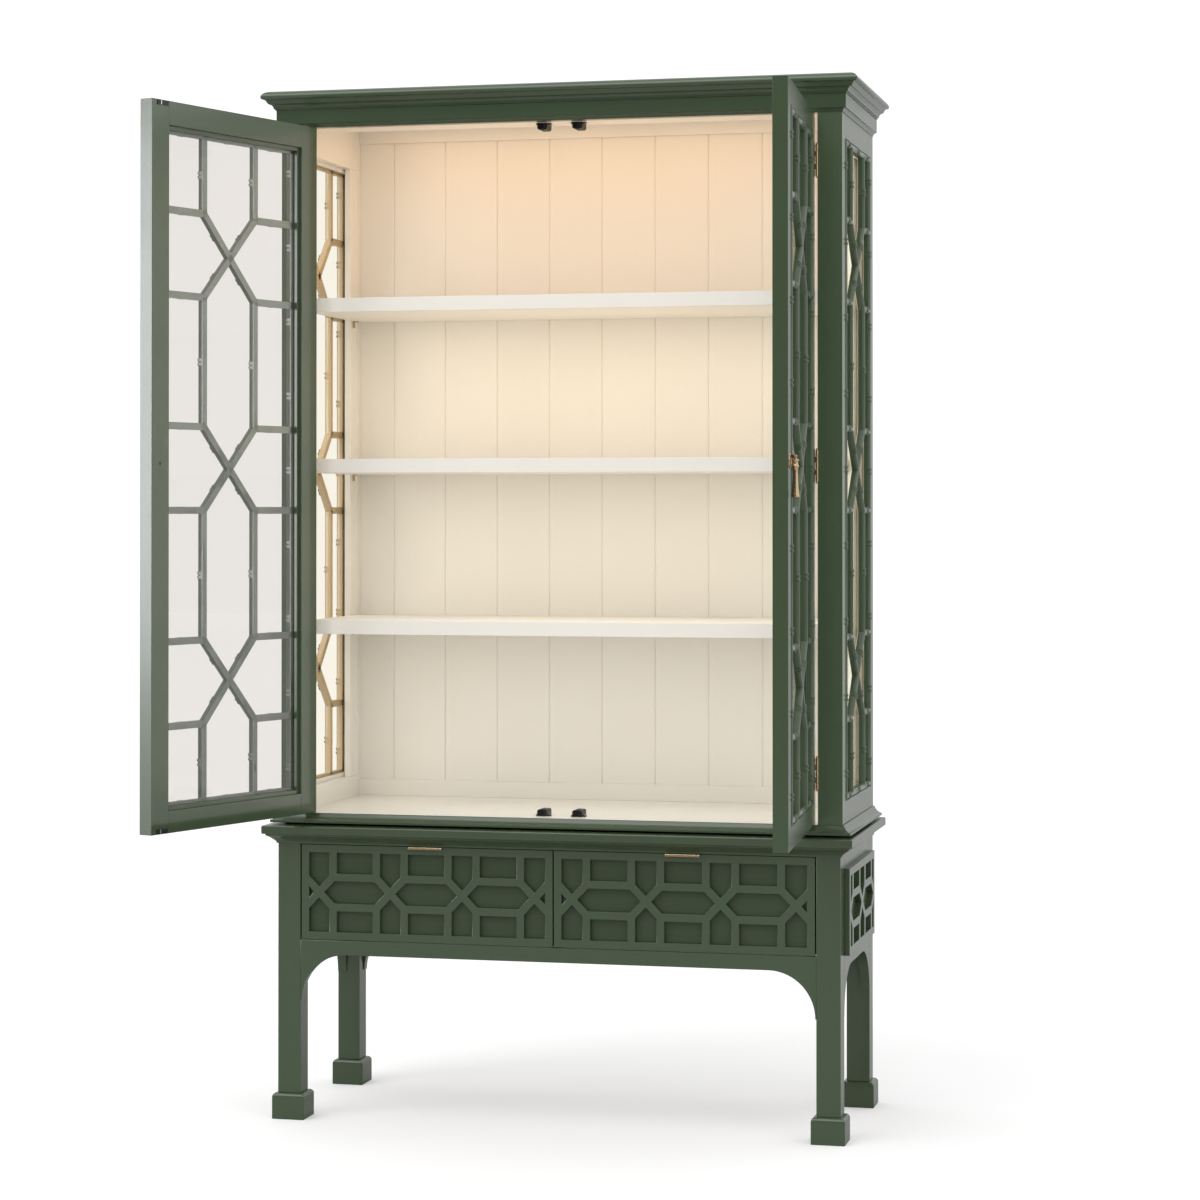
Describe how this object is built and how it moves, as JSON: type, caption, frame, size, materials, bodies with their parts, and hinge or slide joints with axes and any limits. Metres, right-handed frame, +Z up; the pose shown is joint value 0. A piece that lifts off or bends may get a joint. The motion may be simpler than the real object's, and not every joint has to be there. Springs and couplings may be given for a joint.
{
  "type": "book cabinet",
  "caption": "Tall glazed book cabinet on a stand with drawers, with bamboo fretwork over the glass of its doors and sides.",
  "frame": {"origin": "on the floor, midway between the four legs", "axes": "+Z up, +X to the right seen from the front, the front faces -Y"},
  "size_m": [1.3331, 0.9781, 2.134],
  "materials": {
    "green_paint": "satin sage green paint",
    "cream_paint": "satin cream paint",
    "glass": "clear sheet glass",
    "brass": "polished, lightly aged",
    "black_metal": "black catch",
    "drawer_wood": "bare softwood"
  },
  "bodies": {
    "cabinet": {"leg_front_left": "green_paint", "leg_front_right": "green_paint", "leg_rear_left": "green_paint", "leg_rear_right": "green_paint", "feet": "green_paint", "front_apron": "green_paint", "rear_apron": "green_paint", "side_aprons": "green_paint", "stand_frets": "green_paint", "drawer_rails": "green_paint", "bed_moulding": "green_paint", "stand_top": "green_paint", "corner_posts": "green_paint", "side_rails": "green_paint", "header": "green_paint", "top_board": "green_paint", "base_moulding": "green_paint", "frieze": "green_paint", "cornice": "green_paint", "side_fret_left": "green_paint", "side_fret_right": "green_paint", "case_floor": "cream_paint", "side_linings": "cream_paint", "side_stops": "cream_paint", "back_boards": "cream_paint", "back_rails": "cream_paint", "shelf_lower": "cream_paint", "shelf_middle": "cream_paint", "shelf_upper": "cream_paint", "side_glass": "glass", "case_hinge_leaves": "brass", "shelf_clips": "brass", "catches": "black_metal", "drawer_runners": "drawer_wood"},
    "left_door": {"door_frame_left": "green_paint", "door_fret_left": "green_paint", "door_glass_left": "glass", "door_stops_left": "green_paint", "door_strikes_left": "black_metal", "door_hinge_leaves_left": "brass", "pull_plate_left": "brass"},
    "left_drop": {"pull_drop_left": "brass"},
    "left_drawer": {"drawer_front_left": "green_paint", "drawer_fret_left": "green_paint", "drawer_box_left": "drawer_wood", "drawer_pull_left": "brass"},
    "right_door": {"door_frame_right": "green_paint", "door_fret_right": "green_paint", "door_glass_right": "glass", "door_stops_right": "green_paint", "door_strikes_right": "black_metal", "door_hinge_leaves_right": "brass", "pull_plate_right": "brass"},
    "right_drop": {"pull_drop_right": "brass"},
    "right_drawer": {"drawer_front_right": "green_paint", "drawer_fret_right": "green_paint", "drawer_box_right": "drawer_wood", "drawer_pull_right": "brass"}
  },
  "joints": [
    {"name": "left_door_hinge", "type": "hinge", "parent": "cabinet", "child": "left_door", "pos_m": [-0.53925, -0.2054, 1.35], "axis": [0, 0, 1], "range_deg": [-62.5, 107.5]},
    {"name": "right_door_hinge", "type": "hinge", "parent": "cabinet", "child": "right_door", "pos_m": [0.53925, -0.2054, 1.35], "axis": [0, 0, 1], "range_deg": [-94, 76]},
    {"name": "left_drop_swing", "type": "hinge", "parent": "left_door", "child": "left_drop", "pos_m": [-0.69991, -0.69133, 1.36], "axis": [0.3007, 0.9537, 0], "range_deg": [0, 85]},
    {"name": "right_drop_swing", "type": "hinge", "parent": "right_door", "child": "right_drop", "pos_m": [0.58203, -0.71541, 1.36], "axis": [0.0698, -0.9976, 0], "range_deg": [0, 85]},
    {"name": "left_drawer_slide", "type": "slide", "parent": "cabinet", "child": "left_drawer", "axis": [0, -1, 0], "range_m": [0, 0.3]},
    {"name": "right_drawer_slide", "type": "slide", "parent": "cabinet", "child": "right_drawer", "axis": [0, -1, 0], "range_m": [0, 0.3]}
  ]
}
